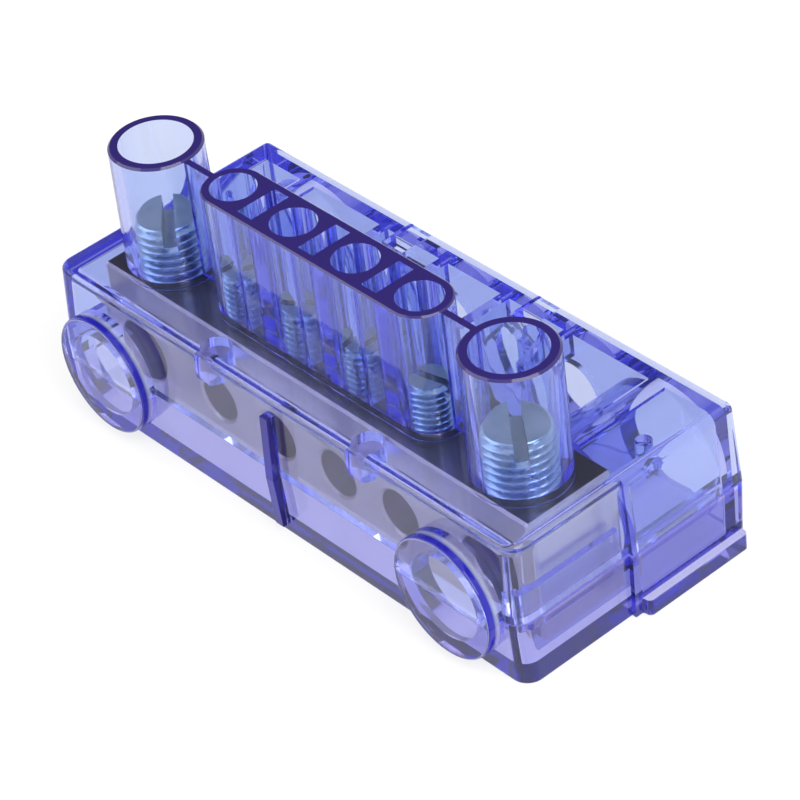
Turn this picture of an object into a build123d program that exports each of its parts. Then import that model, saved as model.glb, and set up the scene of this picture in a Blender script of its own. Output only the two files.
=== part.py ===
from build123d import *
import os

# Driving dimensions of the metal parts, in millimetres
bar_length = 69.0
bar_depth = 11.8
bar_height = 14.3
bar_set_back = 0.6          # middle of the bar behind the line of the screws
bar_edge = 0.3              # broken edges of the bar
bore_height = 6.4           # cable bore axis above the underside of the bar
large_bore = 7.7
small_bore = 5.7
bore_mouth = 0.3            # countersink of every bore
large_from_end = 6.4        # axis of a large screw from the end of the bar
small_pitch = 9.9           # between neighbouring small screws
small_count = 4
large_thread = 8.0
small_thread = 5.0
thread_clearance = 0.04     # on the radius, between a screw and its hole in the bar
large_screw_length = 12.0
small_screw_length = 12.0
large_slot_width = 1.4
small_slot_width = 0.9
large_slot_depth = 2.4
small_slot_depth = 1.7
large_slot_turn = 142.0     # degrees that each large slot is turned from the long direction
small_slot_turns = [64.0, 40.0, 75.0, 12.0]
large_screw_edge = 0.5      # chamfer at the top of a screw
small_screw_edge = 0.35
large_screw_point = 0.9     # chamfer at the tip of a screw
small_screw_point = 0.6
tip_clearance = 0.1         # raised screw's tip above the top of its cable bore

# Driving dimensions of the two mouldings
wall = 1.6
rear_recess = 0.8           # the rear wall stands in from the edges of the roof, the floor and the ends
floor = 1.9
roof = 1.8
roof_gap = 0.2              # between the bar and the roof
front_chamber = 3.6         # between the bar and the front wall
rear_chamber = 12.9         # between the bar and the rear wall
end_gap = 1.4               # between the bar and an end wall
rear_wider = 0.6            # each end of the rear half stands out by this at the parting line
roof_step = 0.2             # and by this at the roof
front_draft = 0.45          # lean of the front wall, from the parting line to the roof
end_draft = 0.3             # lean of the end walls
rear_draft = 0.3            # lean of the rear edges
base_front_draft = 0.5      # the same leans, from the parting line to the underside
base_end_draft = 0.2
base_rear_draft = 0.2
corner_radius = 2.0
rear_corner_radius = 0.8
inner_corner_radius = 0.6
top_edge_radius = 0.6       # of the front half
rear_end_radius = 0.9       # along the ends of the rear half
inner_edge_radius = 0.5
inner_end_radius = 1.2      # between the roof and the ends of the rear half, inside
front_half_reach = 1.3      # the front half ends this far short of the bar's rear face

# Screw towers
tower_height = 15.2         # above the roof
large_tube_outside = 10.7
tube_draft = 0.12           # growth of a tube's radius from its rim to the roof
large_tube_inside = 8.4
small_hole = 5.25
tower_wall = 1.0
pocket_length = 2.3
pocket_floor = 0.4          # bottom of a core pocket below the roof's outside
web_thickness = 0.8
rim_bevel = 0.25
small_rim_bevel = 0.18
seat_gap = 0.05             # between the foot of a tube and the bar

# Round bosses and rib of the front wall
boss_diameter = 14.5
boss_proud = 2.0
boss_edge = 0.3
boss_pocket = 10.2          # bore of the pocket behind each boss
membrane = 0.9              # thin disc that closes a boss
rib_width = 1.2
rib_proud = 1.1
rib_top_margin = 1.8        # below the roof's outside
rib_foot_margin = 1.6       # above the underside

# Cable entries, ribs and latches of the rear half
tunnel_inside = 12.4
tunnel_wall = 1.6
tunnel_gap = 0.4            # between the bar and a sleeve
tunnel_crest = 2.4          # width of the web that joins a sleeve to the roof
small_entry = 7.6
hold_rib_width = 1.4
hold_rib_height = 2.8
hold_rib_start = 6.1        # behind the bar
front_peg = 3.6
front_peg_length = 2.5
front_peg_place = 12.4      # to each side of the middle
front_peg_gap = 0.1         # between a front peg and the bar
rear_peg = 1.9
rear_peg_length = 2.2
rear_peg_place = 33.8
rear_peg_back = 5.3         # behind the bar
latch_place = 10.3          # to each side of the middle
latch_width = 3.0
latch_thickness = 1.0
latch_gap = 0.5             # between a latch arm and the rear wall
latch_reach = 0.8           # how far the hook goes into the rear wall
latch_hook_height = 1.8
latch_top_gap = 3.0         # between a latch arm and the roof
latch_clearance = 0.2
slot_length = 2.0           # release slot through the roof, front to back
slot_from_rear = 3.1        # rear edge of a release slot in front of the rear wall's outside
groove_depth = 0.5

# Base
flange_proud = 1.05
flange_thickness = 2.0
flange_radius = 0.6         # of its corners, and of the curve into the end wall
flange_rear_gap = 1.0       # the flange ends this far short of the rear face
flange_front_gap = 0.9      # and starts this far behind the step
lip_thickness = 0.8
lip_height = 2.8            # above the parting line
lip_clearance = 0.1
lip_root = 2.0              # below the parting line, where the lip joins the wall
lip_rear = 4.9              # its rear end behind the line of the screws
lip_return = 1.3
parting_gap = 0.05

# Heights above the underside
bar_bottom = floor
bar_top = bar_bottom + bar_height
bore_axis = bar_bottom + bore_height
parting = bore_axis
roof_under = bar_top + roof_gap
roof_top = roof_under + roof
tower_top = roof_top + tower_height
tower_foot = bar_top + seat_gap

# Places along the depth, measured from the line of the screws
bar_front = bar_set_back - bar_depth / 2
bar_rear = bar_set_back + bar_depth / 2
front_inside = bar_front - front_chamber
front_face = front_inside - wall
rear_inside = bar_rear + rear_chamber
rear_outside = rear_inside + wall
rear_face = rear_outside + rear_recess
step_place = bar_rear - front_half_reach
middle_of_depth = (front_face - boss_proud + rear_face) / 2

# Places along the length
front_end = bar_length / 2 + end_gap + wall
rear_end = front_end + rear_wider
flange_end = rear_end + flange_proud
large_places = [large_from_end - bar_length / 2, bar_length / 2 - large_from_end]
small_places = [(i - (small_count - 1) / 2) * small_pitch for i in range(small_count)]
pocket_places = [(a + b) / 2 for a, b in zip(small_places, small_places[1:])]
latch_places = [-latch_place, latch_place]

# Working lengths of the model itself
overlap = 0.4               # how far one part of a moulding reaches into the part that carries it
overshoot = 1.5             # how far a cut runs past the face that it opens
hidden = 3.0                # how far the front half runs on inside the rear half
far = 100.0                 # larger than the whole block
closeness = 0.0001
tall_share = 0.9            # an edge this much of a block's height is one of its corners

LOW = (Align.CENTER, Align.CENTER, Align.MIN)
CORNER = (Align.MIN, Align.MIN, Align.MIN)


def post(radius, low, high, x=0.0, y=0.0):
    """Upright cylinder between two heights."""
    return Pos(x, y, low) * Cylinder(radius, high - low, align=LOW)


def rod(radius, front, rear, x, height):
    """Cylinder that lies along the depth, between two places."""
    turned = Rot(-90, 0, 0) * Cylinder(radius, rear - front, align=LOW)
    return Pos(x, front, height) * turned


def block(x0, x1, y0, y1, z0, z1):
    """Upright box between two corners."""
    return Pos((x0 + x1) / 2, (y0 + y1) / 2, z0) * Box(x1 - x0, y1 - y0, z1 - z0, align=LOW)


def leaning_block(low, high, z0, z1):
    """Box with leaning sides. Low and high each give its half length, its front and its rear."""
    low_end, low_front, low_rear = low
    high_end, high_front, high_rear = high
    shape = Wedge(2 * low_end, z1 - z0, low_rear - low_front,
                  low_end - high_end, low_rear - high_rear,
                  low_end + high_end, low_rear - high_front, align=CORNER)
    return Pos(-low_end, low_rear, z0) * (Rot(90, 0, 0) * shape)


def upright(shape, front):
    """The long corner edges at the front or at the rear of a block."""
    box = shape.bounding_box()
    middle = box.center().Y
    tall = [e for e in shape.edges() if e.bounding_box().size.Z > tall_share * box.size.Z]
    return [e for e in tall if (e.center().Y < middle) == front]


def level_edges(shape, height, front):
    """Edges of the face at one height, without the edge on the hidden side."""
    box = shape.bounding_box()
    flat = [e for e in shape.edges()
            if abs(e.center().Z - height) < closeness and e.bounding_box().size.Z < closeness]
    if front:
        return [e for e in flat if e.bounding_box().min.Y < box.max.Y - closeness]
    return [e for e in flat if e.bounding_box().max.Y > box.min.Y + closeness]


def rounded_half(low, high, z0, z1, front, corner, edge):
    """Leaning block with round corners at the front or the rear, and round edges at the top."""
    shape = leaning_block(low, high, z0, z1)
    shape = fillet(upright(shape, front), corner)
    if edge > 0:
        shape = fillet(level_edges(shape, z1, front), edge)
    return shape


def rear_half(low, high, z0, z1, end_edge, rear_edge):
    """Leaning block with round edges along its ends at the top, and then all round its rear face."""
    shape = leaning_block(low, high, z0, z1)
    ends = [e for e in level_edges(shape, z1, False) if e.bounding_box().size.X < closeness]
    shape = fillet(ends, end_edge)
    rear_side = shape.faces().sort_by(Axis.Y)[-1]
    floor_line = rear_side.bounding_box().min.Z
    rim = [e for e in rear_side.edges() if e.bounding_box().max.Z > floor_line + closeness]
    return fillet(rim, rear_edge)


def inset(limits):
    """Half length and front further in by the wall, and the rear wall's inside, which is upright."""
    end, front, _ = limits
    return (end - wall, front + wall, rear_inside)


# Outlines at the three levels, as half length, front and rear, for the front and the rear half
front_low = (front_end - base_end_draft, front_face + base_front_draft, step_place + hidden)
front_mid = (front_end, front_face, step_place + hidden)
front_high = (front_end - end_draft, front_face + front_draft, step_place + hidden)
rear_low = (rear_end - base_end_draft, step_place, rear_face - base_rear_draft)
rear_mid = (rear_end, step_place, rear_face)
rear_high = (front_end - end_draft + roof_step, step_place, rear_face - rear_draft)


def rear_recess_cut(low, high):
    """Shallow recess of the rear wall, between the rear edges of the two ends."""
    half = rear_high[0] - wall
    return block(-half, half, rear_outside, rear_face + overshoot, low, high)


def cover_block():
    """Outside of the cover without its towers."""
    front = rounded_half(front_mid, front_high, parting, roof_top, True, corner_radius, top_edge_radius)
    rear = rear_half(rear_mid, rear_high, parting, roof_top, rear_end_radius, rear_corner_radius)
    return front + rear - rear_recess_cut(parting, roof_under)


def cover_room():
    """Hollow of the cover."""
    front = rounded_half(inset(front_mid), inset(front_high), parting, roof_under,
                         True, inner_corner_radius, inner_edge_radius)
    rear = rear_half(inset(rear_mid), inset(rear_high), parting, roof_under,
                     inner_end_radius, inner_edge_radius)
    joined = block(wall - front_end + overshoot, front_end - wall - overshoot, step_place - hidden,
                   step_place + 2 * hidden, parting, roof_under)
    return front + rear + joined


def base_block():
    """Outside of the base without its flanges."""
    top = parting - parting_gap
    front = rounded_half(front_low, front_mid, 0, top, True, corner_radius, 0)
    rear = rounded_half(rear_low, rear_mid, 0, top, False, rear_corner_radius, 0)
    return front + rear - rear_recess_cut(floor, parting)


def base_room():
    """Hollow of the base."""
    top = parting - parting_gap
    front = rounded_half(inset(front_low), inset(front_mid), floor, top,
                         True, inner_corner_radius, 0)
    rear = rounded_half(inset(rear_low), inset(rear_mid), floor, top,
                        False, inner_corner_radius, 0)
    joined = block(wall - front_end + overshoot, front_end - wall - overshoot, step_place - hidden,
                   step_place + 2 * hidden, floor, top)
    return front + rear + joined


def flange():
    """Thin foot along both ends of the rear half, which curves into the end walls at its front."""
    start = step_place + flange_front_gap
    plate = block(-flange_end, flange_end, start, rear_face - flange_rear_gap, 0, flange_thickness)
    plate = fillet(plate.edges().filter_by(Axis.Z), flange_radius)
    foot = rear_end - base_end_draft
    for side in (-1, 1):
        x0, x1 = sorted((side * (foot - overlap), side * (foot + flange_radius)))
        hollow = post(flange_radius, -overshoot, flange_thickness + overshoot, side * (foot + flange_radius),
                      start - flange_radius)
        plate += block(x0, x1, start - flange_radius, start + overlap, 0, flange_thickness) - hollow
    return plate


def front_bosses():
    """Round bosses of the front wall, each with a softened edge."""
    result = Part()
    for x in large_places:
        disc = rod(boss_diameter / 2, front_face - boss_proud, front_inside, x, bore_axis)
        edge = disc.edges().filter_by(GeomType.CIRCLE).sort_by(Axis.Y)[0]
        result += fillet(edge, boss_edge)
    return result


def boss_pockets():
    """Hollows behind the bosses, closed at the front by a thin disc."""
    result = Part()
    for x in large_places:
        result += rod(boss_pocket / 2, front_face - boss_proud + membrane, front_inside + overshoot,
                      x, bore_axis)
    return result


def front_rib(upper):
    """Upright rib in the middle of the front wall, which leans with the wall."""
    if upper:
        solid = leaning_block(front_mid, front_high, parting, roof_top)
        cut = block(-rib_width / 2, rib_width / 2, front_face - far, front_face + wall, parting,
                    roof_top - rib_top_margin)
    else:
        solid = leaning_block(front_low, front_mid, 0, parting - parting_gap)
        cut = block(-rib_width / 2, rib_width / 2, front_face - far, front_face + wall, rib_foot_margin,
                    parting - parting_gap)
    return (Pos(0, -rib_proud, 0) * solid) & cut


def tunnels():
    """Sleeves that guide the two large cables from the rear wall to the bar."""
    result = Part()
    outside = tunnel_inside / 2 + tunnel_wall
    for x in large_places:
        result += rod(outside, bar_rear + tunnel_gap, rear_inside + overlap, x, bore_axis)
        result += block(x - tunnel_crest / 2, x + tunnel_crest / 2, bar_rear + tunnel_gap,
                        rear_inside + overlap, bore_axis, roof_under + overlap)
    return result


def entries():
    """Round ways for the cables through the sleeves and the rear wall."""
    result = Part()
    for x in large_places:
        result += rod(tunnel_inside / 2, bar_rear, rear_face + overshoot, x, bore_axis)
    for x in small_places:
        result += rod(small_entry / 2, rear_inside - overshoot, rear_face + overshoot, x, bore_axis)
    return result


def upper_half():
    """Everything above the parting line."""
    return block(-far, far, -far, far, parting, far)


def lower_half():
    """Everything below the parting line."""
    return block(-far, far, -far, far, -far, parting - parting_gap)


def large_tube(x):
    """Screw tube with a slightly widening wall and a bevelled rim."""
    top = large_tube_outside / 2
    cone = Pos(x, 0, roof_under) * Cone(top + tube_draft, top, tower_top - roof_under, align=LOW)
    cone = chamfer(cone.edges().filter_by(GeomType.CIRCLE).sort_by(Axis.Z)[-1], rim_bevel)
    foot = post(top + tube_draft, tower_foot, roof_under + overlap, x)
    return cone + foot


def small_tower():
    """Oblong tower around the four small screws."""
    half_width = small_hole / 2 + tower_wall
    outline = SlotCenterToCenter(small_places[-1] - small_places[0], 2 * half_width)
    body = Pos(0, 0, tower_foot) * extrude(outline, tower_top - tower_foot)
    top_edges = [e for e in body.edges() if abs(e.bounding_box().min.Z - tower_top) < closeness]
    return chamfer(top_edges, small_rim_bevel)


def webs():
    """Thin walls that join the large tubes to the oblong tower."""
    result = Part()
    for side in (-1, 1):
        inner = small_places[-1] + small_hole / 2 + tower_wall / 2
        outer = large_places[-1] - large_tube_inside / 2 - overlap
        x0, x1 = sorted((side * inner, side * outer))
        result += block(x0, x1, -web_thickness / 2, web_thickness / 2, roof_under + overlap,
                        tower_top - small_rim_bevel)
    return result


def tower_holes():
    """Screw holes and core pockets of the towers."""
    result = Part()
    for x in large_places:
        result += post(large_tube_inside / 2, tower_foot - overshoot, tower_top + overshoot, x)
    for x in small_places:
        result += post(small_hole / 2, tower_foot - overshoot, tower_top + overshoot, x)
    for x in pocket_places:
        result += block(x - pocket_length / 2, x + pocket_length / 2, -small_hole / 2, small_hole / 2,
                        roof_top - pocket_floor, tower_top + overshoot)
    return result


def roof_ribs_and_pegs():
    """Hold-down ribs and pegs that hang from the roof."""
    result = Part()
    for x in small_places:
        result += block(x - hold_rib_width / 2, x + hold_rib_width / 2, bar_rear + hold_rib_start,
                        rear_inside + overlap, roof_under - hold_rib_height, roof_under + overlap)
    for side in (-1, 1):
        front_y = bar_front - front_peg_gap - front_peg / 2
        result += post(front_peg / 2, roof_under - front_peg_length, roof_under + overlap,
                       side * front_peg_place, front_y)
        result += post(rear_peg / 2, roof_under - rear_peg_length, roof_under + overlap,
                       side * rear_peg_place, bar_rear + rear_peg_back)
    return result


def release_cuts():
    """Release slots, the shallow grooves behind them and the catches in the rear wall."""
    result = Part()
    half = latch_width / 2 + latch_clearance
    hook_top = roof_under - latch_top_gap + latch_clearance
    hook_low = roof_under - latch_top_gap - latch_hook_height - latch_clearance
    slot_rear = rear_face - slot_from_rear
    for x in latch_places:
        result += block(x - half, x + half, slot_rear - slot_length, slot_rear, roof_under - overshoot,
                        roof_top + overshoot)
        result += block(x - half, x + half, slot_rear - overlap, rear_face + overshoot,
                        roof_top - groove_depth, roof_top + overshoot)
        result += block(x - half, x + half, rear_inside - overshoot,
                        rear_inside + latch_reach + latch_clearance, hook_low, hook_top)
    return result


def cover():
    """Upper moulding with roof, walls and towers."""
    shell = cover_block() + (front_bosses() & upper_half()) + front_rib(True)
    shell -= cover_room()
    shell += (tunnels() & upper_half())
    shell += roof_ribs_and_pegs()
    shell += small_tower()
    shell += webs()
    for x in large_places:
        shell += large_tube(x)
    shell -= boss_pockets()
    shell -= entries()
    shell -= tower_holes()
    shell -= release_cuts()
    return shell


def end_lips():
    """Lips of the base that reach up inside the end walls of the cover."""
    result = Part()
    outer = front_end - wall - end_draft * lip_height / (roof_top - parting) - lip_clearance
    inner = outer - lip_thickness
    front = front_inside + front_draft * lip_height / (roof_top - parting) + lip_clearance
    for side in (-1, 1):
        x0, x1 = sorted((side * inner, side * outer))
        upright_lip = block(x0, x1, front, lip_rear, parting - lip_root, parting + lip_height)
        x2, x3 = sorted((side * (outer - lip_return), side * outer))
        turned_lip = block(x2, x3, front, front + lip_thickness, parting - lip_root, parting + lip_height)
        lip = upright_lip + turned_lip
        corner = [e for e in lip.edges().filter_by(Axis.Z)
                  if abs(abs(e.center().X) - outer) < closeness and e.center().Y < 0]
        lip = fillet(corner, lip_thickness / 2)
        x4, x5 = sorted((side * (outer - overlap), side * (front_end - wall + overlap)))
        root = block(x4, x5, front + lip_thickness, lip_rear, parting - lip_root, parting - parting_gap)
        result += lip + root
    return result


def latch_arms():
    """Upright arms of the base, each with a hook that snaps into the rear wall of the cover."""
    result = Part()
    top = roof_under - latch_top_gap
    rear = rear_inside - latch_gap
    for x in latch_places:
        arm = block(x - latch_width / 2, x + latch_width / 2, rear - latch_thickness, rear,
                    floor - overlap, top)
        hook = block(x - latch_width / 2, x + latch_width / 2, rear - overlap, rear_inside + latch_reach,
                     top - latch_hook_height, top)
        slope = [e for e in hook.edges().filter_by(Axis.X)
                 if e.center().Y > rear_inside and e.center().Z > top - closeness]
        hook = chamfer(slope, latch_reach)
        result += arm + hook
    return result


def base():
    """Lower moulding with floor, walls, flanges, lips and latch arms."""
    shell = base_block() + (front_bosses() & lower_half()) + front_rib(False)
    shell += flange()
    shell -= base_room()
    shell += (tunnels() & lower_half())
    shell += end_lips()
    shell -= boss_pockets()
    shell -= entries()
    shell += latch_arms()
    return shell


def terminal_bar():
    """Bar with its cable bores and its screw holes."""
    bar = block(-bar_length / 2, bar_length / 2, bar_front, bar_rear, bar_bottom, bar_top)
    bar = chamfer(bar.edges(), bar_edge)
    ways = [(x, large_bore / 2, large_thread / 2) for x in large_places]
    ways += [(x, small_bore / 2, small_thread / 2) for x in small_places]
    for x, bore, thread in ways:
        bar -= rod(bore, bar_front - overshoot, bar_rear + overshoot, x, bore_axis)
        bar -= post(thread + thread_clearance, bore_axis, bar_top + overshoot, x)
        mouth = Cone(bore + bore_mouth, bore, bore_mouth, align=LOW)
        bar -= Pos(x, bar_front, bore_axis) * (Rot(-90, 0, 0) * mouth)
        bar -= Pos(x, bar_rear, bore_axis) * (Rot(90, 0, 0) * mouth)
    return bar


def screw(diameter, length, slot_width, slot_depth, turn, tip, edge, point, x):
    """Slotted set screw with a chamfered top and a chamfered tip."""
    body = Cylinder(diameter / 2, length, align=LOW)
    rings = body.edges().filter_by(GeomType.CIRCLE).sort_by(Axis.Z)
    body = chamfer(rings[-1], edge)
    rings = body.edges().filter_by(GeomType.CIRCLE).sort_by(Axis.Z)
    body = chamfer(rings[0], point)
    slot = Pos(0, 0, length - slot_depth) * Box(2 * diameter, slot_width, slot_depth + overshoot, align=LOW)
    body -= Rot(0, 0, turn) * slot
    return Pos(x, 0, tip) * body


def large_screw(x):
    """One of the two screws for the large cables."""
    tip = bore_axis + large_bore / 2 + tip_clearance
    return screw(large_thread, large_screw_length, large_slot_width, large_slot_depth, large_slot_turn,
                 tip, large_screw_edge, large_screw_point, x)


def small_screw(number):
    """One of the four screws for the small cables."""
    tip = bore_axis + small_bore / 2 + tip_clearance
    return screw(small_thread, small_screw_length, small_slot_width, small_slot_depth,
                 small_slot_turns[number], tip, small_screw_edge, small_screw_point, small_places[number])


pieces = {
    "cover": cover(),
    "base": base(),
    "terminal_bar": terminal_bar(),
    "large_screw_left": large_screw(large_places[0]),
    "large_screw_right": large_screw(large_places[1]),
    "small_screw_1": small_screw(0),
    "small_screw_2": small_screw(1),
    "small_screw_3": small_screw(2),
    "small_screw_4": small_screw(3),
}

os.makedirs("parts", exist_ok=True)
for name, shape in pieces.items():
    placed = Pos(0, -middle_of_depth, 0) * shape
    solids = placed.solids()
    print(name, "solids:", len(solids), "volume:", round(placed.volume, 1), "valid:", placed.is_valid)
    export_step(solids[0] if len(solids) == 1 else placed, "parts/" + name + ".step")
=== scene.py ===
import math

import bmesh
import bpy
import numpy as np
from mathutils import Matrix, Vector


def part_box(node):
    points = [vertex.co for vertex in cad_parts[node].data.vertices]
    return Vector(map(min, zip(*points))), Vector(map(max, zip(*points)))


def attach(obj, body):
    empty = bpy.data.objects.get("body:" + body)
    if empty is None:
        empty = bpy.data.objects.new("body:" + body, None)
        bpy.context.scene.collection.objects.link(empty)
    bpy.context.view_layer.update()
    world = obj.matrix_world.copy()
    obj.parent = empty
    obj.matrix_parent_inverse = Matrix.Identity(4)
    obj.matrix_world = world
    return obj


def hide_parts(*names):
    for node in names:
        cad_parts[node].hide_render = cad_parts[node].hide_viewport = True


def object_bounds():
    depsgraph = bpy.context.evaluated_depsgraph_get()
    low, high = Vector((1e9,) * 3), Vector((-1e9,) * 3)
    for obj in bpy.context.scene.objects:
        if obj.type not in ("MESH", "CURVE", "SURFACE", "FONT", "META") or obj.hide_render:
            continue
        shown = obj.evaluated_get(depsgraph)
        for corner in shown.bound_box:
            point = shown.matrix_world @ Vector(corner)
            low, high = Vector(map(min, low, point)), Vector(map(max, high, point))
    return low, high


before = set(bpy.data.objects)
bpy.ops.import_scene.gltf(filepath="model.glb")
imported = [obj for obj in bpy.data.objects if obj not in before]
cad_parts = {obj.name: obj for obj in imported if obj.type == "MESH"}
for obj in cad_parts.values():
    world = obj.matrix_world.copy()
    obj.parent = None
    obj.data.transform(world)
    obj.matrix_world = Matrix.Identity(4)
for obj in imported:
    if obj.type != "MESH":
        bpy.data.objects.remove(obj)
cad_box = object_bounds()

MM = 0.001

# How far two faces of the mouldings stand off what is read from the solids.
ROOF_ABOVE_BAR = 2.0 * MM
BOSS_PROUD = 2.0 * MM

# Places read from the solids, in metres, so that every piece here follows them.
bar_low, bar_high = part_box("terminal_bar")
cover_low, cover_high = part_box("cover")
screw_low, screw_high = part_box("large_screw_right")
screw_line = (screw_low.y + screw_high.y) / 2
large_place = (screw_low.x + screw_high.x) / 2
parting = cover_low.z
roof_top = bar_high.z + ROOF_ABOVE_BAR
front_face = cover_low.y + BOSS_PROUD

# Where the mouldings have streaks, or a painted violet shade.
STREAKS_START = 0.3 * MM    # above the roof
RIM_DEPTH = 0.45 * MM       # down from the top of the towers
RIB_HALF = 0.75 * MM        # half the width of the front rib, with its edges
RIB_START = 0.15 * MM       # ahead of the front wall, which itself stays clear
BOSS_SIDE = 7.0 * MM        # from a boss's axis to where its round side starts
BOSS_EDGE = 0.15 * MM       # over which the face turns into that side
BOSS_DEEP = 0.8 * MM        # behind a boss's face, as far as its side is at its deepest
BOSS_CLEAR = 1.6 * MM       # behind a boss's face, from where its side is clear
END_WALL = 0.5 * MM         # in from the outermost face
END_DEEP = 0.6 * MM         # under the parting line, from where a low end wall is at its deepest
END_CLEAR = 0.2 * MM        # under the parting line, up to where it has its tone
FLANGE_TOP = 0.2 * MM       # above the underside of the bar, just over the flanges

# How far the bar's painted light keeps off its edges: a bore's from its top and underside, and a sawn end's
# depth.
BORE_MARGIN = 0.3 * MM
SAWN_DEPTH = 0.5 * MM

# The two kinds of set screw. Edge and point are the chamfers at the top and at the tip.
LARGE_SCREW = {"pitch": 1.0 * MM, "slot_width": 1.4 * MM, "slot_depth": 2.4 * MM,
               "edge": 0.5 * MM, "point": 0.9 * MM}
SMALL_SCREW = {"pitch": 0.8 * MM, "slot_width": 0.9 * MM, "slot_depth": 1.7 * MM,
               "edge": 0.35 * MM, "point": 0.6 * MM}
LARGE_SLOT_TURN = 142.0     # degrees from the long direction
SMALL_SLOT_TURNS = [64.0, 40.0, 75.0, 12.0]

# Thread profile, as shares of the pitch and of the triangle wave, and how finely it is drawn.
THREAD_DEPTH = 0.58
ROOT_SHARE = 0.2
FLANK_SHARE = 0.62
ROWS_PER_PITCH = 20
TURN_POINTS = 96
ARC_POINTS = 48
WALL_POINTS = 10
JAW_SINK = 0.05 * MM        # how far each half of the head reaches into the shank

# How the copies of the nodes are joined: distance between like corners, and angles in degrees.
SAME_CORNER = 0.0005 * MM
SAME_PLANE = 0.2
SHARP_MOULDED = 28
SHARP_TURNED = 35
BAR_FILM = 0.02 * MM        # film of air under the bar

# The paper floor lies a little under the object, and is painted a little darker close to it, as a shadow.
FLOOR_HALF = 1.5
FLOOR_DROP = 0.15 * MM
SHADE_INSIDE = 2 * MM       # in from the object's sides, up to where the paper is darkest
SHADE_OUTSIDE = 8 * MM      # out from the object's sides, from where it is white

# Direction of the dark cloth, high up behind the object.
CLOTH = (-0.62, 0.48, 0.62)

# Camera of the photograph: its aim on the object, its direction, its distance and its lens.
AIM = Vector((6.09, screw_line / MM + 2.50, 13.72)) * MM
AZIMUTH = math.radians(52.56)
ELEVATION = math.radians(38.14)
ROLL = math.radians(-7.38)
DISTANCE = 391.7 * MM
LENS = 165.3

# Numbers of the sockets of a colour mix: its two colours, and its result.
COLOUR_A = 6
COLOUR_B = 7
MIXED = 2


def linear(hex_colour, alpha=1.0):
    """Turns a hex sRGB colour into the linear values that the shaders take."""
    channels = [int(hex_colour[i:i + 2], 16) / 255 for i in (1, 3, 5)]
    values = [c / 12.92 if c <= 0.04045 else ((c + 0.055) / 1.055) ** 2.4 for c in channels]
    return (*values, alpha)


def add_node(tree, kind, settings=None, sockets=None):
    """Adds one shader node, sets its properties, and fills or links its sockets."""
    node = tree.nodes.new(kind)
    for name, value in (settings or {}).items():
        setattr(node, name, value)
    for name, value in (sockets or {}).items():
        if isinstance(value, bpy.types.NodeSocket):
            tree.links.new(value, node.inputs[name])
        else:
            node.inputs[name].default_value = value
    return node


def new_material(name):
    """Starts a node material and returns it with its tree and its Object coordinates."""
    material = bpy.data.materials.new(name)
    material.use_nodes = True
    tree = material.node_tree
    tree.nodes.clear()
    place = add_node(tree, "ShaderNodeTexCoord").outputs["Object"]
    return material, tree, place


def drawn_lines(tree, place, axes, level):
    """Height of the fine upright lines that draw-polishing leaves on the steep faces of the towers."""
    drawn = add_node(tree, "ShaderNodeMapping",
                     sockets={"Vector": place, "Scale": (1 / (1.1 * MM), 1 / (1.1 * MM), 1 / (70 * MM))})
    lines = add_node(tree, "ShaderNodeTexNoise",
                     sockets={"Vector": drawn.outputs["Vector"], "Scale": 1.0, "Detail": 1.0})
    on_tower = add_node(tree, "ShaderNodeMath", {"operation": "GREATER_THAN"},
                        {0: axes["Z"], 1: roof_top + STREAKS_START}).outputs[0]
    steep = add_node(tree, "ShaderNodeMath", {"operation": "LESS_THAN"}, {0: level, 1: 0.4}).outputs[0]
    streaked = add_node(tree, "ShaderNodeMath", {"operation": "MULTIPLY"},
                        {0: on_tower, 1: steep}).outputs[0]
    return add_node(tree, "ShaderNodeMath", {"operation": "MULTIPLY"},
                    {0: streaked, 1: lines.outputs["Fac"]}).outputs[0]


def tower_rim_painted_shade(tree, axes, level):
    """One on the rims of the towers, where a deep violet shade is painted, and zero elsewhere."""
    near_top = add_node(tree, "ShaderNodeMath", {"operation": "GREATER_THAN"},
                        {0: axes["Z"], 1: cover_high.z - RIM_DEPTH}).outputs[0]
    flat = add_node(tree, "ShaderNodeMath", {"operation": "GREATER_THAN"}, {0: level, 1: 0.3}).outputs[0]
    return add_node(tree, "ShaderNodeMath", {"operation": "MULTIPLY"}, {0: near_top, 1: flat}).outputs[0]


def front_rib_painted_shade(tree, axes, off_middle):
    """One on the rib of the front wall, where a deep violet shade is painted, and zero elsewhere."""
    proud = add_node(tree, "ShaderNodeMath", {"operation": "LESS_THAN"},
                     {0: axes["Y"], 1: front_face - RIB_START}).outputs[0]
    in_middle = add_node(tree, "ShaderNodeMath", {"operation": "LESS_THAN"},
                         {0: off_middle, 1: RIB_HALF}).outputs[0]
    return add_node(tree, "ShaderNodeMath", {"operation": "MULTIPLY"},
                    {0: in_middle, 1: proud}).outputs[0]


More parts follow.
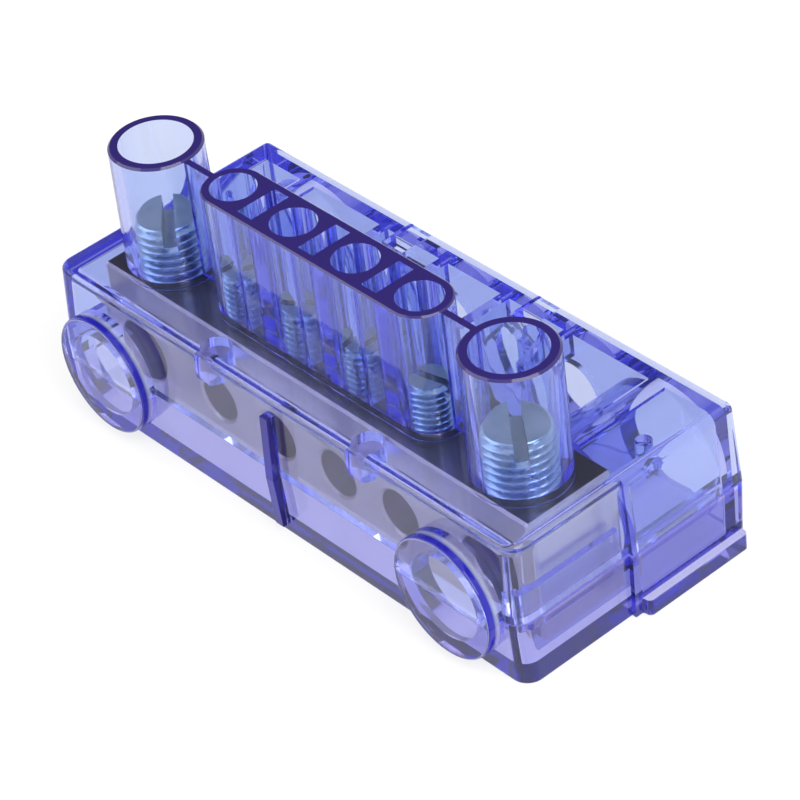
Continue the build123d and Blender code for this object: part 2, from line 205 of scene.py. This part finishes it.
def boss_side_painted_shade(tree, axes, off_middle):
    """One on the round sides of the two bosses, close behind their faces, where a deep blue shade is
    painted, and zero elsewhere.
    """
    from_axis = add_node(tree, "ShaderNodeMath", {"operation": "SUBTRACT"}, {0: off_middle, 1: large_place})
    from_parting = add_node(tree, "ShaderNodeMath", {"operation": "SUBTRACT"}, {0: axes["Z"], 1: parting})
    aside = add_node(tree, "ShaderNodeCombineXYZ",
                     sockets={"X": from_axis.outputs[0], "Y": from_parting.outputs[0]}).outputs["Vector"]
    reach = add_node(tree, "ShaderNodeVectorMath", {"operation": "LENGTH"}, {0: aside}).outputs["Value"]
    round_side = add_node(tree, "ShaderNodeMapRange",
                          sockets={"Value": reach, "From Min": BOSS_SIDE, "From Max": BOSS_SIDE + BOSS_EDGE,
                                   "To Min": 0.0, "To Max": 1.0})
    near_face = add_node(tree, "ShaderNodeMapRange",
                         sockets={"Value": axes["Y"], "From Min": cover_low.y + BOSS_DEEP,
                                  "From Max": cover_low.y + BOSS_CLEAR, "To Min": 1.0, "To Max": 0.0})
    return add_node(tree, "ShaderNodeMath", {"operation": "MULTIPLY"},
                    {0: round_side.outputs["Result"], 1: near_face.outputs["Result"]}).outputs[0]


def low_end_painted_shade(tree, axes, off_middle):
    """Up to 0.85 on the base's end walls behind the step, where a violet blue shade is painted, and zero
    elsewhere.
    """
    outermost = add_node(tree, "ShaderNodeMath", {"operation": "GREATER_THAN"},
                         {0: off_middle, 1: cover_high.x - END_WALL}).outputs[0]
    under_parting = add_node(tree, "ShaderNodeMapRange",
                             sockets={"Value": axes["Z"], "From Min": parting - END_DEEP,
                                      "From Max": parting - END_CLEAR, "To Min": 0.85, "To Max": 0.0})
    above_flange = add_node(tree, "ShaderNodeMath", {"operation": "GREATER_THAN"},
                            {0: axes["Z"], 1: bar_low.z + FLANGE_TOP}).outputs[0]
    end_wall = add_node(tree, "ShaderNodeMath", {"operation": "MULTIPLY"},
                        {0: outermost, 1: above_flange}).outputs[0]
    return add_node(tree, "ShaderNodeMath", {"operation": "MULTIPLY"},
                    {0: end_wall, 1: under_parting.outputs["Result"]}).outputs[0]


def clear_blue_polycarbonate(name, skin_colour, dye_colour, dye_density):
    """Injection-moulded polycarbonate with a transparent blue dye, which differs a little between mouldings.

    The polished mould leaves a glossy skin with faint waves. A short way through a wall is nearly
    clear. Where the eye looks down along a wall, on the rims of the towers, on the front rib and on the
    round sides of the bosses, the light would come a long way through the dye, so these faces carry a
    painted deep violet shade that little shines through. The base's low end walls are clear, with a
    painted violet blue shade over their skin.
    """
    material, tree, place = new_material(name)
    waves = add_node(tree, "ShaderNodeTexNoise",
                     sockets={"Vector": place, "Scale": 1 / (9 * MM), "Detail": 1.0})
    grain = add_node(tree, "ShaderNodeTexNoise",
                     sockets={"Vector": place, "Scale": 1 / (1.2 * MM), "Detail": 3.0})
    polish = add_node(tree, "ShaderNodeMapRange",
                      sockets={"Value": grain.outputs["Fac"], "From Min": 0.35, "From Max": 0.75,
                               "To Min": 0.015, "To Max": 0.07})
    axes = add_node(tree, "ShaderNodeSeparateXYZ", sockets={"Vector": place}).outputs
    off_middle = add_node(tree, "ShaderNodeMath", {"operation": "ABSOLUTE"}, {0: axes["X"]}).outputs[0]
    facing = add_node(tree, "ShaderNodeNewGeometry").outputs["Normal"]
    upward = add_node(tree, "ShaderNodeSeparateXYZ", sockets={"Vector": facing}).outputs["Z"]
    level = add_node(tree, "ShaderNodeMath", {"operation": "ABSOLUTE"}, {0: upward}).outputs[0]

    streaks = drawn_lines(tree, place, axes, level)
    relief = add_node(tree, "ShaderNodeMath", {"operation": "MULTIPLY_ADD"},
                      {0: streaks, 1: 0.8, 2: waves.outputs["Fac"]}).outputs[0]
    wavy = add_node(tree, "ShaderNodeBump",
                    sockets={"Height": relief, "Strength": 0.5, "Distance": 0.04 * MM})

    rim = tower_rim_painted_shade(tree, axes, level)
    rib = front_rib_painted_shade(tree, axes, off_middle)
    boss = boss_side_painted_shade(tree, axes, off_middle)
    low_end_shade = low_end_painted_shade(tree, axes, off_middle)
    front = add_node(tree, "ShaderNodeMath", {"operation": "MAXIMUM"}, {0: rib, 1: boss}).outputs[0]
    deep = add_node(tree, "ShaderNodeMath", {"operation": "MAXIMUM"}, {0: rim, 1: front}).outputs[0]
    # Painted shade: the rims, the front rib and the boss sides are dark violet and let little light through,
    # for the long way light takes through the dye.
    front_violet_shade = add_node(tree, "ShaderNodeMix", {"data_type": "RGBA"},
                            {0: boss, COLOUR_A: linear("#241A62"), COLOUR_B: linear("#1E1C94")})
    violet = add_node(tree, "ShaderNodeMix", {"data_type": "RGBA"},
                      {0: front, COLOUR_A: linear("#2E2464"), COLOUR_B: front_violet_shade.outputs[MIXED]})
    # Painted violet blue shade on the base's low end walls, over the clear skin.
    skin = add_node(tree, "ShaderNodeMix", {"data_type": "RGBA"},
                    {0: low_end_shade, COLOUR_A: linear(skin_colour), COLOUR_B: linear("#6C72CC")})
    colour = add_node(tree, "ShaderNodeMix", {"data_type": "RGBA"},
                      {0: deep, COLOUR_A: skin.outputs[MIXED], COLOUR_B: violet.outputs[MIXED]})
    clear = add_node(tree, "ShaderNodeMapRange", sockets={"Value": deep, "To Min": 0.98, "To Max": 0.15})
    surface = add_node(tree, "ShaderNodeBsdfPrincipled",
                       sockets={"Base Color": colour.outputs[MIXED], "Roughness": polish.outputs["Result"],
                                "IOR": 1.45, "Transmission Weight": clear.outputs["Result"],
                                "Normal": wavy.outputs["Normal"]})
    dye = add_node(tree, "ShaderNodeVolumeAbsorption",
                   sockets={"Color": linear(dye_colour), "Density": dye_density})
    add_node(tree, "ShaderNodeOutputMaterial",
             sockets={"Surface": surface.outputs["BSDF"], "Volume": dye.outputs["Volume"]})
    return material


def bore_painted_light_mask(tree, axes, ahead, not_end):
    """One on the walls of the bores and holes of the bar, which face neither front nor rear, where light is
    painted.
    """
    sideways = add_node(tree, "ShaderNodeMath", {"operation": "COMPARE"},
                        {0: ahead, 1: 0.0, 2: 0.5}).outputs[0]
    half_height = (bar_high.z - bar_low.z) / 2 - BORE_MARGIN
    inside = add_node(tree, "ShaderNodeMath", {"operation": "COMPARE"},
                      {0: axes["Z"], 1: (bar_low.z + bar_high.z) / 2, 2: half_height}).outputs[0]
    in_bar = add_node(tree, "ShaderNodeMath", {"operation": "MULTIPLY"}, {0: inside, 1: not_end}).outputs[0]
    return add_node(tree, "ShaderNodeMath", {"operation": "MULTIPLY"},
                    {0: in_bar, 1: sideways}).outputs[0]


def tin_plated_brass():
    """Milled brass bar with a thin dull tin plating, which shows fine milling lines along its length.

    Its top has a painted dark reflection, its sawn ends are painted brighter as if lit from the side and are
    warmer, and its bores have painted light in a tone between.
    """
    material, tree, place = new_material("tin_plated_brass_milled")
    along = add_node(tree, "ShaderNodeMapping",
                     sockets={"Vector": place, "Scale": (1 / (14 * MM), 1 / (0.16 * MM), 1 / (0.16 * MM))})
    lines = add_node(tree, "ShaderNodeTexNoise",
                     sockets={"Vector": along.outputs["Vector"], "Scale": 1.0, "Detail": 3.0})
    stains = add_node(tree, "ShaderNodeTexNoise",
                      sockets={"Vector": place, "Scale": 1 / (5 * MM), "Detail": 4.0})
    tone = add_node(tree, "ShaderNodeMix", {"data_type": "RGBA"},
                    {0: stains.outputs["Fac"], COLOUR_A: linear("#C4B4A8"), COLOUR_B: linear("#DED0C4")})
    axes = add_node(tree, "ShaderNodeSeparateXYZ", sockets={"Vector": place}).outputs
    facing = add_node(tree, "ShaderNodeNewGeometry").outputs["Normal"]
    normal = add_node(tree, "ShaderNodeSeparateXYZ", sockets={"Vector": facing}).outputs
    on_top = add_node(tree, "ShaderNodeMapRange",
                      sockets={"Value": normal["Z"], "From Min": 0.5, "From Max": 0.95,
                               "To Min": 0.0, "To Max": 0.85})
    not_end = add_node(tree, "ShaderNodeMath", {"operation": "COMPARE"},
                       {0: axes["X"], 1: 0.0, 2: bar_high.x - SAWN_DEPTH}).outputs[0]
    bore_painted_light = bore_painted_light_mask(tree, axes, normal["Y"], not_end)
    # Painted light on the sawn ends: brighter, as if lit from the side, and warmer, as bare brass.
    sawn = add_node(tree, "ShaderNodeMix", {"data_type": "RGBA"},
                    {0: not_end, COLOUR_A: linear("#FFF4E2"), COLOUR_B: tone.outputs[MIXED]})
    # Painted dark reflection on the top faces.
    top_painted_dark = add_node(tree, "ShaderNodeMix", {"data_type": "RGBA"},
                    {0: on_top.outputs["Result"], COLOUR_A: sawn.outputs[MIXED],
                     COLOUR_B: linear("#64484A")})
    # Painted light in the bores: a lighter mauve tone, so that they are less dark than their shade.
    plated = add_node(tree, "ShaderNodeMix", {"data_type": "RGBA"},
                      {0: bore_painted_light, COLOUR_A: top_painted_dark.outputs[MIXED], COLOUR_B: linear("#C6A0CA")})
    rough = add_node(tree, "ShaderNodeMapRange",
                     sockets={"Value": lines.outputs["Fac"], "To Min": 0.26, "To Max": 0.42})
    milled = add_node(tree, "ShaderNodeBump",
                      sockets={"Height": lines.outputs["Fac"], "Strength": 0.35, "Distance": 0.02 * MM})
    surface = add_node(tree, "ShaderNodeBsdfPrincipled",
                       sockets={"Base Color": plated.outputs[MIXED], "Metallic": 1.0,
                                "Roughness": rough.outputs["Result"], "Normal": milled.outputs["Normal"]})
    add_node(tree, "ShaderNodeOutputMaterial", sockets={"Surface": surface.outputs["BSDF"]})
    return material


def zinc_plated_steel():
    """Bright blue-passivated zinc on turned steel screws, with faint cloudy patches and duller tops."""
    material, tree, place = new_material("zinc_plated_steel_turned")
    clouds = add_node(tree, "ShaderNodeTexNoise",
                      sockets={"Vector": place, "Scale": 1 / (2.2 * MM), "Detail": 5.0})
    grit = add_node(tree, "ShaderNodeTexNoise",
                    sockets={"Vector": place, "Scale": 1 / (0.25 * MM), "Detail": 3.0})
    tone = add_node(tree, "ShaderNodeMix", {"data_type": "RGBA"},
                    {0: clouds.outputs["Fac"], COLOUR_A: linear("#7F9EB6"), COLOUR_B: linear("#BED0DF")})
    rough = add_node(tree, "ShaderNodeMapRange",
                     sockets={"Value": clouds.outputs["Fac"], "To Min": 0.16, "To Max": 0.34})
    facing = add_node(tree, "ShaderNodeNewGeometry").outputs["Normal"]
    upward = add_node(tree, "ShaderNodeSeparateXYZ", sockets={"Vector": facing}).outputs["Z"]
    on_top = add_node(tree, "ShaderNodeMath", {"operation": "GREATER_THAN"}, {0: upward, 1: 0.9}).outputs[0]
    turned = add_node(tree, "ShaderNodeMath", {"operation": "MULTIPLY_ADD"},
                      {0: on_top, 1: 0.35, 2: rough.outputs["Result"]}).outputs[0]
    skin = add_node(tree, "ShaderNodeBump",
                    sockets={"Height": grit.outputs["Fac"], "Strength": 0.3, "Distance": 0.02 * MM})
    surface = add_node(tree, "ShaderNodeBsdfPrincipled",
                       sockets={"Base Color": tone.outputs[MIXED], "Metallic": 1.0, "Roughness": turned,
                                "Normal": skin.outputs["Normal"]})
    add_node(tree, "ShaderNodeOutputMaterial", sockets={"Surface": surface.outputs["BSDF"]})
    return material


def finish_piece(mesh, name, material, body, sharp_angle):
    """Makes an object of a mesh, shades it smooth up to an angle, and lets it ride on its body."""
    mesh.materials.clear()
    mesh.materials.append(material)
    mesh.shade_smooth()
    mesh.set_sharp_from_angle(angle=math.radians(sharp_angle))
    piece = bpy.data.objects.new(name, mesh)
    bpy.context.scene.collection.objects.link(piece)
    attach(piece, body)
    return piece


def joined_copy(node, name, material, body, foot_gap=0.0):
    """The node's own surface, with its loose triangles joined so that its round faces shade smooth.

    Triangles that lie in one plane become one face again, so that flat faces stay flat beside fillets.
    The foot gap lifts the lowest face by a film of air, which real pieces have between them.
    """
    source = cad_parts[node].data
    source.calc_loop_triangles()
    places = np.empty(len(source.vertices) * 3)
    source.vertices.foreach_get("co", places)
    corners = np.empty(len(source.loop_triangles) * 3, dtype=np.int32)
    source.loop_triangles.foreach_get("vertices", corners)
    mesh = bpy.data.meshes.new(name)
    mesh.from_pydata(places.reshape(-1, 3).tolist(), [], corners.reshape(-1, 3).tolist())
    work = bmesh.new()
    work.from_mesh(mesh)
    bmesh.ops.remove_doubles(work, verts=work.verts, dist=SAME_CORNER)
    bmesh.ops.dissolve_limit(work, angle_limit=math.radians(SAME_PLANE), verts=work.verts, edges=work.edges)
    lowest = min(vert.co.z for vert in work.verts)
    for vert in work.verts:
        if vert.co.z < lowest + foot_gap:
            vert.co.z = lowest + foot_gap
    work.to_mesh(mesh)
    work.free()
    piece = finish_piece(mesh, name, material, body, SHARP_MOULDED)
    weigh = piece.modifiers.new("flat_faces_stay_flat", "WEIGHTED_NORMAL")
    weigh.keep_sharp = True
    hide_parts(node)


def grid_faces(rows, columns):
    """Quads of a grid that is closed round its columns, facing outwards when columns run anticlockwise."""
    low = (np.arange(rows - 1) * columns)[:, None] + np.arange(columns)[None, :]
    right = (np.arange(rows - 1) * columns)[:, None] + np.roll(np.arange(columns), -1)[None, :]
    return np.stack([low, right, right + columns, low + columns], axis=-1).reshape(-1, 4)


def cap_faces(start, columns, centre, upward):
    """Triangles from one closed row of points to its centre point."""
    ring = start + np.arange(columns)
    after = np.roll(ring, -1)
    middle = np.full(columns, centre)
    return np.stack([ring, after, middle] if upward else [after, ring, middle], axis=-1)


def closed_column(points):
    """A closed shell from rows of points, with a fan over its first and its last row."""
    rows, columns, _ = points.shape
    places = points.reshape(-1, 3)
    ends = np.stack([points[0].mean(axis=0), points[-1].mean(axis=0)])
    quads = grid_faces(rows, columns).tolist()
    low = cap_faces(0, columns, rows * columns, False).tolist()
    high = cap_faces((rows - 1) * columns, columns, rows * columns + 1, True).tolist()
    return np.vstack([places, ends]), quads + low + high


def thread_radius(turn, height, size):
    """Radius of a right-hand metric thread.

    The profile is a triangle wave of height minus the turn's share of the pitch, cut flat at its crests
    and roots. It is also held under the chamfer cones at the tip and at the top.
    """
    phase = np.mod(height / size["pitch"] - turn / (2 * math.pi), 1.0)
    wave = 1 - np.abs(2 * phase - 1)
    ridge = np.clip((wave - ROOT_SHARE) / FLANK_SHARE, 0, 1)
    radius = size["radius"] - size["depth"] * (1 - ridge)
    from_tip = size["radius"] - size["point"] + (height - size["tip"])
    from_top = size["radius"] - size["edge"] + (size["top"] - height)
    return np.minimum(np.minimum(radius, from_tip), from_top)


def threaded_column(size, low, high, row_count):
    """Threaded cylinder: each row is a full turn at one height, at the radius of the thread."""
    height = np.linspace(low, high, row_count)[:, None]
    turn = np.linspace(0, 2 * math.pi, TURN_POINTS, endpoint=False)[None, :]
    radius = thread_radius(turn, height, size)
    return np.stack([radius * np.cos(turn), radius * np.sin(turn), height + 0 * turn], axis=-1)


def threaded_jaw(size, low, high, side, row_count):
    """One half of a screw's head beside the slot.

    Each row follows the thread from one lip of the slot to the other, and comes back along the slot's
    flat wall. The arc's ends are where the thread meets that wall, so their angle is the arcsine of
    half the slot's width over the radius there.
    """
    height = np.linspace(low, high, row_count)[:, None]
    base_turn = size["slot_turn"] + (0 if side > 0 else math.pi)
    half = size["slot_width"] / 2
    first = np.arcsin(half / thread_radius(base_turn, height, size))
    last = math.pi - np.arcsin(half / thread_radius(base_turn + math.pi, height, size))
    turn = first + (last - first) * np.linspace(0, 1, ARC_POINTS)[None, :]
    radius = thread_radius(base_turn + turn, height, size)
    along = radius * np.cos(turn)
    across = radius * np.sin(turn)
    share = np.linspace(0, 1, WALL_POINTS + 2)[None, 1:-1]
    wall_along = along[:, -1:] + (along[:, :1] - along[:, -1:]) * share
    along = np.hstack([along, wall_along])
    across = np.hstack([across, half + 0 * wall_along])
    cos = math.cos(base_turn)
    sin = math.sin(base_turn)
    return np.stack([along * cos - across * sin, along * sin + across * cos, height + 0 * along], axis=-1)


def set_screw(node, name, material, kind, slot_turn):
    """Slotted set screw with a real thread, in the place of its plain solid."""
    low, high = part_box(node)
    middle = (low + high) / 2
    size = dict(kind, depth=THREAD_DEPTH * kind["pitch"], radius=(high.x - low.x) / 2, tip=low.z,
                top=high.z, slot_turn=math.radians(slot_turn))
    slot_floor = high.z - kind["slot_depth"]
    rows_per_metre = ROWS_PER_PITCH / kind["pitch"]
    shank_rows = int((slot_floor - low.z) * rows_per_metre)
    jaw_rows = int((kind["slot_depth"] + JAW_SINK) * rows_per_metre)
    parts = [threaded_column(size, low.z, slot_floor, shank_rows)]
    for side in (1, -1):
        parts.append(threaded_jaw(size, slot_floor - JAW_SINK, high.z, side, jaw_rows))
    places, faces, start = [], [], 0
    for part in parts:
        points, cells = closed_column(part)
        places.append(points + np.array([middle.x, middle.y, 0]))
        faces += [[start + i for i in cell] for cell in cells]
        start += len(points)
    mesh = bpy.data.meshes.new(name)
    mesh.from_pydata(np.vstack(places).tolist(), [], faces)
    piece = finish_piece(mesh, name, material, node, SHARP_TURNED)
    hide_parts(node)


def photo_camera():
    """Camera of the photograph, from its direction, roll, distance and lens."""
    look = Vector((-math.sin(AZIMUTH) * math.cos(ELEVATION), math.cos(AZIMUTH) * math.cos(ELEVATION),
                   -math.sin(ELEVATION)))
    level = look.cross(Vector((0, 0, 1))).normalized()
    upright = level.cross(look)
    right = level * math.cos(ROLL) + upright * math.sin(ROLL)
    up = upright * math.cos(ROLL) - level * math.sin(ROLL)
    data = bpy.data.cameras.new("photo_camera")
    data.lens = LENS
    data.sensor_width = 36
    data.clip_start = 0.01
    data.clip_end = 20
    camera = bpy.data.objects.new("photo_camera", data)
    turn = Matrix((right, up, -look)).transposed().to_4x4()
    camera.matrix_world = Matrix.Translation(AIM - look * DISTANCE) @ turn
    bpy.context.scene.collection.objects.link(camera)
    bpy.context.scene.camera = camera


def close_shade(tree, place):
    """Painted shadow on the paper: its brightness is lowest under the object and rises to one close outside
    it.
    """
    half_x, half_y, _ = ((high - low) / 2 for low, high in zip(*cad_box))
    off_centre = add_node(tree, "ShaderNodeVectorMath", {"operation": "ABSOLUTE"},
                          {0: place}).outputs["Vector"]
    beyond = add_node(tree, "ShaderNodeVectorMath", {"operation": "SUBTRACT"},
                      {0: off_centre, 1: (half_x, half_y, 0)}).outputs["Vector"]
    clear_of = add_node(tree, "ShaderNodeSeparateXYZ", sockets={"Vector": beyond}).outputs
    outside = add_node(tree, "ShaderNodeMath", {"operation": "MAXIMUM"},
                       {0: clear_of["X"], 1: clear_of["Y"]}).outputs[0]
    return add_node(tree, "ShaderNodeMapRange",
                    sockets={"Value": outside, "From Min": -SHADE_INSIDE, "From Max": SHADE_OUTSIDE,
                             "To Min": 0.84, "To Max": 1.0}).outputs["Result"]


def white_paper():
    """Matt white paper. It glows where it is seen, mirrored or looked at through the plastic.

    The share of that glow is a little lower for the bounced rays that meet the paper close to the object,
    which paints a shadow there.
    """
    material, tree, place = new_material("white_paper_matt")
    paper = add_node(tree, "ShaderNodeBsdfDiffuse", sockets={"Color": linear("#F2F2F2")})
    glow = add_node(tree, "ShaderNodeEmission", sockets={"Color": linear("#FFFFFF"), "Strength": 1.0})
    rays = add_node(tree, "ShaderNodeLightPath").outputs
    straight = add_node(tree, "ShaderNodeMath", {"operation": "MULTIPLY"},
                        {0: rays["Is Camera Ray"], 1: 0.72}).outputs[0]
    bounced = add_node(tree, "ShaderNodeMath", {"operation": "MAXIMUM"},
                       {0: rays["Is Glossy Ray"], 1: rays["Is Transmission Ray"]}).outputs[0]
    # Painted shadow: the glow is lower close to the object.
    held = add_node(tree, "ShaderNodeMath", {"operation": "MULTIPLY"},
                    {0: bounced, 1: close_shade(tree, place)}).outputs[0]
    share = add_node(tree, "ShaderNodeMath", {"operation": "MAXIMUM"}, {0: straight, 1: held}).outputs[0]
    mixed = add_node(tree, "ShaderNodeMixShader",
                     sockets={0: share, 1: paper.outputs["BSDF"], 2: glow.outputs["Emission"]})
    add_node(tree, "ShaderNodeOutputMaterial", sockets={"Surface": mixed.outputs["Shader"]})
    return material


def studio_floor():
    """Flat sheet of white paper that keeps a soft shadow."""
    corners = [(-FLOOR_HALF, -FLOOR_HALF, -FLOOR_DROP), (FLOOR_HALF, -FLOOR_HALF, -FLOOR_DROP),
               (FLOOR_HALF, FLOOR_HALF, -FLOOR_DROP), (-FLOOR_HALF, FLOOR_HALF, -FLOOR_DROP)]
    mesh = bpy.data.meshes.new("studio_floor")
    mesh.from_pydata(corners, [], [(0, 1, 2, 3)])
    mesh.materials.append(white_paper())
    floor = bpy.data.objects.new("studio_floor", mesh)
    bpy.context.scene.collection.objects.link(floor)


def studio_world():
    """White surroundings with one dark cloth high up behind the object, and white where it is seen."""
    world = bpy.data.worlds.new("studio_world")
    bpy.context.scene.world = world
    world.use_nodes = True
    tree = world.node_tree
    tree.nodes.clear()
    direction = add_node(tree, "ShaderNodeTexCoord").outputs["Generated"]
    cloth = add_node(tree, "ShaderNodeVectorMath", {"operation": "DOT_PRODUCT"}, {0: direction, 1: CLOTH})
    strength = add_node(tree, "ShaderNodeMapRange", {"interpolation_type": "SMOOTHSTEP"},
                        {"Value": cloth.outputs["Value"], "From Min": 0.84, "From Max": 0.95,
                         "To Min": 1.05, "To Max": 0.05})
    soft = add_node(tree, "ShaderNodeBackground",
                    sockets={"Color": linear("#FFFFFF"), "Strength": strength.outputs["Result"]})
    white = add_node(tree, "ShaderNodeBackground", sockets={"Color": linear("#FFFFFF"), "Strength": 1.0})
    rays = add_node(tree, "ShaderNodeLightPath").outputs
    mixed = add_node(tree, "ShaderNodeMixShader",
                     sockets={0: rays["Is Camera Ray"], 1: soft.outputs["Background"],
                              2: white.outputs["Background"]})
    add_node(tree, "ShaderNodeOutputWorld", sockets={"Surface": mixed.outputs["Shader"]})


def soft_lamp(name, place, width, power):
    """Square soft box that faces the object."""
    data = bpy.data.lights.new(name, "AREA")
    data.size = width
    data.energy = power
    lamp = bpy.data.objects.new(name, data)
    lamp.location = place
    lamp.rotation_euler = (AIM - Vector(place)).to_track_quat("-Z", "Y").to_euler()
    bpy.context.scene.collection.objects.link(lamp)


cover_plastic = clear_blue_polycarbonate("clear_blue_polycarbonate_cover", skin_colour="#E8F3FF",
                                         dye_colour="#3400F2", dye_density=138.0)
base_plastic = clear_blue_polycarbonate("clear_blue_polycarbonate_base", skin_colour="#EAECFE",
                                        dye_colour="#4800F0", dye_density=142.0)
plating = tin_plated_brass()
zinc = zinc_plated_steel()

joined_copy("cover", "cover_moulding", cover_plastic, "block")
joined_copy("base", "base_moulding", base_plastic, "block")
joined_copy("terminal_bar", "bar_milled", plating, "block", foot_gap=BAR_FILM)

for side in ("left", "right"):
    set_screw("large_screw_" + side, "large_set_screw_" + side, zinc, LARGE_SCREW, LARGE_SLOT_TURN)
for number, slot_turn in enumerate(SMALL_SLOT_TURNS, start=1):
    set_screw("small_screw_" + str(number), "small_set_screw_" + str(number), zinc, SMALL_SCREW, slot_turn)

studio_floor()
studio_world()
soft_lamp("key_soft_box", place=(0.5, -0.05, 0.45), width=0.5, power=3.9)
soft_lamp("fill_soft_box", place=(-0.3, -0.45, 0.4), width=0.5, power=1.6)
photo_camera()

bpy.context.scene.view_settings.view_transform = "Standard"
bpy.context.scene.cycles.max_bounces = 32
bpy.context.scene.cycles.glossy_bounces = 24
bpy.context.scene.cycles.transmission_bounces = 32
